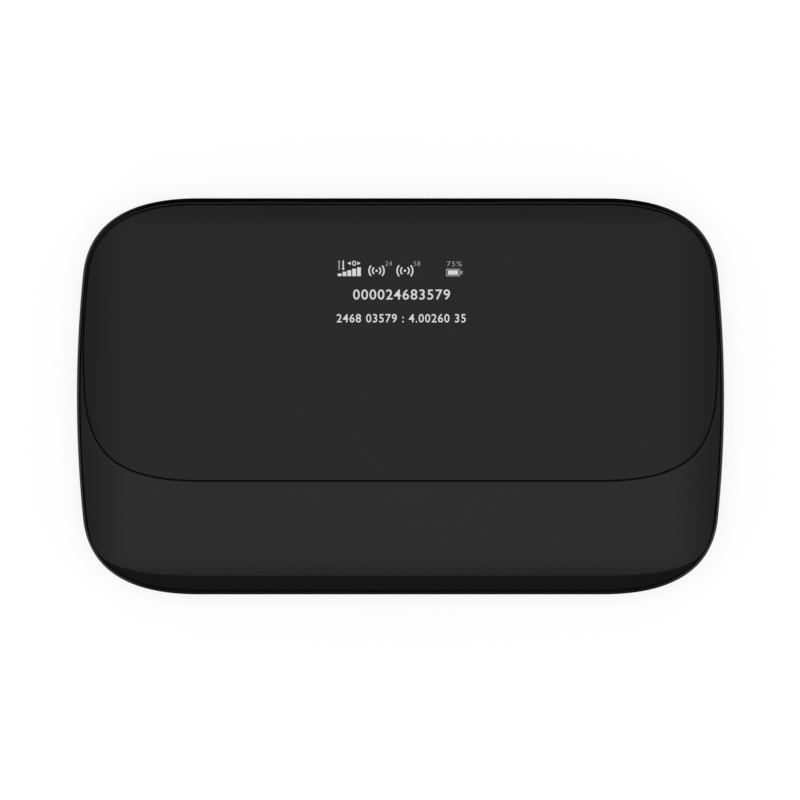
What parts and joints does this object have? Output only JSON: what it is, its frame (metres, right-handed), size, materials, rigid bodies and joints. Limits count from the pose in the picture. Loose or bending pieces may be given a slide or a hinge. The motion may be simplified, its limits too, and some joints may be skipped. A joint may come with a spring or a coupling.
{
  "type": "mobile hotspot",
  "caption": "Pocket wireless router with a softly domed black front, inset smoked panel over a small status display, slanted lower edge, pebble-shaped back cover and swappable battery.",
  "frame": {"origin": "middle of the back cover's flat underside, on the table", "axes": "+Z out of the front face, +X to the right, +Y to the top edge as the display is read"},
  "size_m": [0.107, 0.0654, 0.016],
  "materials": {
    "housing_plastic": "fine spark texture, moulded",
    "panel_plastic": "smoked, satin hard coat",
    "cover_plastic": "fine spark texture, moulded",
    "frame_plastic": "plain moulded",
    "tape": "foam tape",
    "circuit_board": "green solder mask",
    "chip_resin": "moulded resin",
    "tinned_sheet": "tinned sheet",
    "display_cell": "polished",
    "foam": "closed-cell foam",
    "polyimide": "film",
    "white_resin": "moulded",
    "switch_body": "pressed sheet",
    "black_resin": "moulded",
    "steel_sheet": "pressed sheet",
    "gold_contact": "plated",
    "card_plastic": "printed card stock",
    "battery_wrap": "film wrap",
    "copper_foil": "etched foil",
    "screw_steel": "zinc plated"
  },
  "bodies": {
    "back_cover": {"back_cover": "cover_plastic"},
    "power_button": {"power_button": "housing_plastic", "power_plunger": "black_resin"},
    "menu_button": {"menu_button": "housing_plastic", "menu_plunger": "black_resin"},
    "reset_button": {"reset_plunger": "black_resin"},
    "battery": {"battery_pack": "battery_wrap", "battery_cap": "black_resin", "battery_terminals": "gold_contact"},
    "subscriber_card": {"subscriber_card": "card_plastic", "card_pads": "gold_contact"},
    "device": {"front_housing": "housing_plastic", "front_panel": "panel_plastic", "panel_tape": "tape", "rear_frame": "frame_plastic", "main_board": "circuit_board", "modem_chip": "chip_resin", "memory_chip": "chip_resin", "radio_chips": "chip_resin", "power_chip": "chip_resin", "modem_shield": "tinned_sheet", "radio_shield": "tinned_sheet", "coils": "chip_resin", "display_glass": "display_cell", "display_lit_area": "display_cell", "display_gasket": "foam", "display_tray": "frame_plastic", "display_flex": "polyimide", "display_socket": "white_resin", "power_switch": "switch_body", "menu_switch": "switch_body", "reset_switch": "switch_body", "port_shell": "steel_sheet", "port_tongue": "black_resin", "port_contacts": "gold_contact", "card_holder": "steel_sheet", "battery_connector": "black_resin", "battery_springs": "gold_contact", "left_carrier": "frame_plastic", "right_carrier": "frame_plastic", "left_antenna": "copper_foil", "right_antenna": "copper_foil", "antenna_clips": "gold_contact", "wifi_antennas": "tinned_sheet", "housing_screws": "screw_steel"}
  },
  "joints": [
    {"name": "cover_unclip", "type": "slide", "parent": "back_cover", "child": "device", "axis": [0, 0, 1], "range_m": [0, 0.03]},
    {"name": "battery_lift", "type": "slide", "parent": "device", "child": "battery", "axis": [0, 0, -1], "range_m": [0, 0.015]},
    {"name": "card_slide", "type": "slide", "parent": "device", "child": "subscriber_card", "axis": [0, -1, 0], "range_m": [0, 0.016]},
    {"name": "power_press", "type": "slide", "parent": "device", "child": "power_button", "axis": [0, -1, 0], "range_m": [0, 0.00035], "stiffness_N_per_m": 300},
    {"name": "menu_press", "type": "slide", "parent": "device", "child": "menu_button", "axis": [0, -1, 0], "range_m": [0, 0.00035], "stiffness_N_per_m": 300},
    {"name": "reset_press", "type": "slide", "parent": "device", "child": "reset_button", "axis": [0, 0, 1], "range_m": [0, 0.00025], "stiffness_N_per_m": 300}
  ],
  "couplings": [
    {"joint": "battery_lift", "follows": "cover_unclip", "ratio": 0.5}
  ]
}
